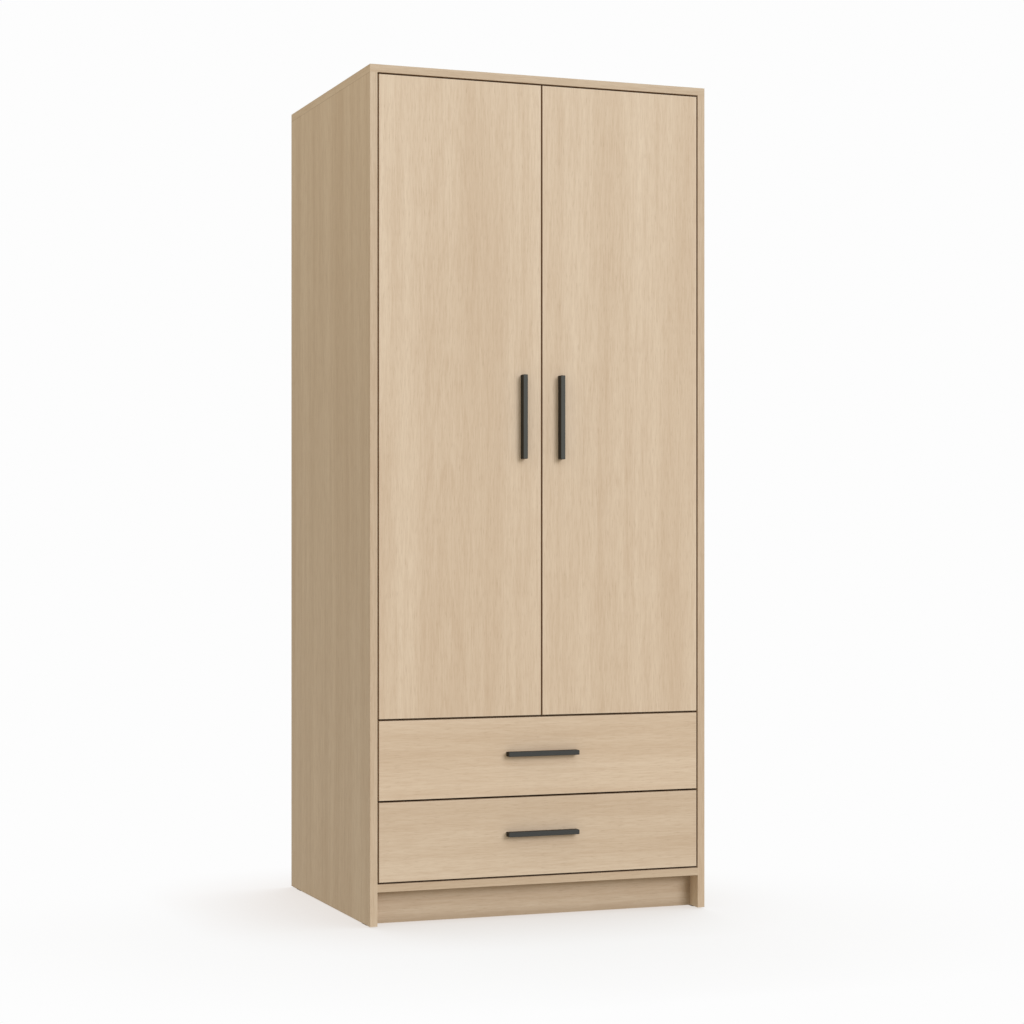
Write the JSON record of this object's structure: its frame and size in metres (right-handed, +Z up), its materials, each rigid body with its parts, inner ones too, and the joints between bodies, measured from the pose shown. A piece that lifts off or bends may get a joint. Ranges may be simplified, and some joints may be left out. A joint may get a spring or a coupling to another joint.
{
  "type": "armoire",
  "caption": "Free-standing armoire in pale oak board: inset doors on cup hinges over drawers on roller runners, slim dark bar handles, hat shelf and clothes rail inside.",
  "frame": {"origin": "on the floor, under the middle of the bounding box", "axes": "+Z up, +X to the right seen from the front, the doors face -Y"},
  "size_m": [0.76, 0.637, 1.785],
  "materials": {
    "oak_upright": "matt melamine, upright grain",
    "oak_level": "matt melamine, level grain",
    "drawer_board": "matt foil on particleboard",
    "hardboard": "printed hardboard",
    "handle_black": "matt black powder coat",
    "hinge_steel": "nickel-plated pressed steel",
    "runner_enamel": "white epoxy-coated steel",
    "roller_nylon": "natural nylon",
    "fixing_zinc": "zinc-plated",
    "dowel_beech": "fluted beech",
    "rail_chrome": "polished",
    "glide_black": "moulded",
    "strip_plastic": "extruded"
  },
  "bodies": {
    "carcass": {"left_side_panel": "oak_upright", "right_side_panel": "oak_upright", "top_panel": "oak_level", "bottom_panel": "oak_level", "divider_panel": "oak_level", "plinth": "oak_level", "rear_rail": "oak_level", "hat_shelf": "oak_level", "back_panel_left": "hardboard", "back_panel_right": "hardboard", "back_joint_strip": "strip_plastic", "shelf_pins": "fixing_zinc", "clothes_rail": "rail_chrome", "rail_brackets": "rail_chrome", "wall_brackets": "fixing_zinc", "foot_glides": "glide_black", "cam_locks": "fixing_zinc", "cam_bolts": "fixing_zinc", "dowels": "dowel_beech", "carcass_screws": "fixing_zinc", "hinge_plates": "hinge_steel", "hinge_arms": "hinge_steel", "upper_cabinet_runners": "runner_enamel", "lower_cabinet_runners": "runner_enamel"},
    "left_door": {"left_door_panel": "oak_upright", "left_door_handle": "handle_black", "left_door_handle_screws": "fixing_zinc", "left_hinge_cups": "hinge_steel", "left_hinge_pins": "hinge_steel", "left_cup_screws": "fixing_zinc"},
    "right_door": {"right_door_panel": "oak_upright", "right_door_handle": "handle_black", "right_door_handle_screws": "fixing_zinc", "right_hinge_cups": "hinge_steel", "right_hinge_pins": "hinge_steel", "right_cup_screws": "fixing_zinc"},
    "upper_drawer": {"upper_drawer_front": "oak_level", "upper_drawer_left_side": "drawer_board", "upper_drawer_right_side": "drawer_board", "upper_drawer_back": "drawer_board", "upper_drawer_bottom": "hardboard", "upper_drawer_handle": "handle_black", "upper_drawer_runners": "runner_enamel", "upper_drawer_cams": "fixing_zinc", "upper_drawer_screws": "fixing_zinc"},
    "upper_front_rollers": {"upper_front_rollers": "roller_nylon"},
    "upper_rear_rollers": {"upper_rear_rollers": "roller_nylon"},
    "lower_drawer": {"lower_drawer_front": "oak_level", "lower_drawer_left_side": "drawer_board", "lower_drawer_right_side": "drawer_board", "lower_drawer_back": "drawer_board", "lower_drawer_bottom": "hardboard", "lower_drawer_handle": "handle_black", "lower_drawer_runners": "runner_enamel", "lower_drawer_cams": "fixing_zinc", "lower_drawer_screws": "fixing_zinc"},
    "lower_front_rollers": {"lower_front_rollers": "roller_nylon"},
    "lower_rear_rollers": {"lower_rear_rollers": "roller_nylon"}
  },
  "joints": [
    {"name": "left_door_hinge", "type": "hinge", "parent": "carcass", "child": "left_door", "pos_m": [-0.348, -0.2942, 1.098], "axis": [0, 0, -1], "range_deg": [0, 105]},
    {"name": "right_door_hinge", "type": "hinge", "parent": "carcass", "child": "right_door", "pos_m": [0.348, -0.2942, 1.098], "axis": [0, 0, 1], "range_deg": [0, 105]},
    {"name": "upper_drawer_slide", "type": "slide", "parent": "carcass", "child": "upper_drawer", "axis": [0, -1, 0], "range_m": [0, 0.36]},
    {"name": "upper_front_roller_spin", "type": "hinge", "parent": "carcass", "child": "upper_front_rollers", "pos_m": [0, -0.2675, 0.2835], "axis": [1, 0, 0], "range_deg": [0, 1800]},
    {"name": "upper_rear_roller_spin", "type": "hinge", "parent": "upper_drawer", "child": "upper_rear_rollers", "pos_m": [0, 0.1885, 0.2835], "axis": [1, 0, 0], "range_deg": [0, 1800]},
    {"name": "lower_drawer_slide", "type": "slide", "parent": "carcass", "child": "lower_drawer", "axis": [0, -1, 0], "range_m": [0, 0.36]},
    {"name": "lower_front_roller_spin", "type": "hinge", "parent": "carcass", "child": "lower_front_rollers", "pos_m": [0, -0.2675, 0.1145], "axis": [1, 0, 0], "range_deg": [0, 1800]},
    {"name": "lower_rear_roller_spin", "type": "hinge", "parent": "lower_drawer", "child": "lower_rear_rollers", "pos_m": [0, 0.1885, 0.1145], "axis": [1, 0, 0], "range_deg": [0, 1800]}
  ],
  "couplings": [
    {"joint": "upper_front_roller_spin", "follows": "upper_drawer_slide", "rad_per_m": 86.957},
    {"joint": "upper_rear_roller_spin", "follows": "upper_drawer_slide", "rad_per_m": 86.957},
    {"joint": "lower_front_roller_spin", "follows": "lower_drawer_slide", "rad_per_m": 86.957},
    {"joint": "lower_rear_roller_spin", "follows": "lower_drawer_slide", "rad_per_m": 86.957}
  ]
}
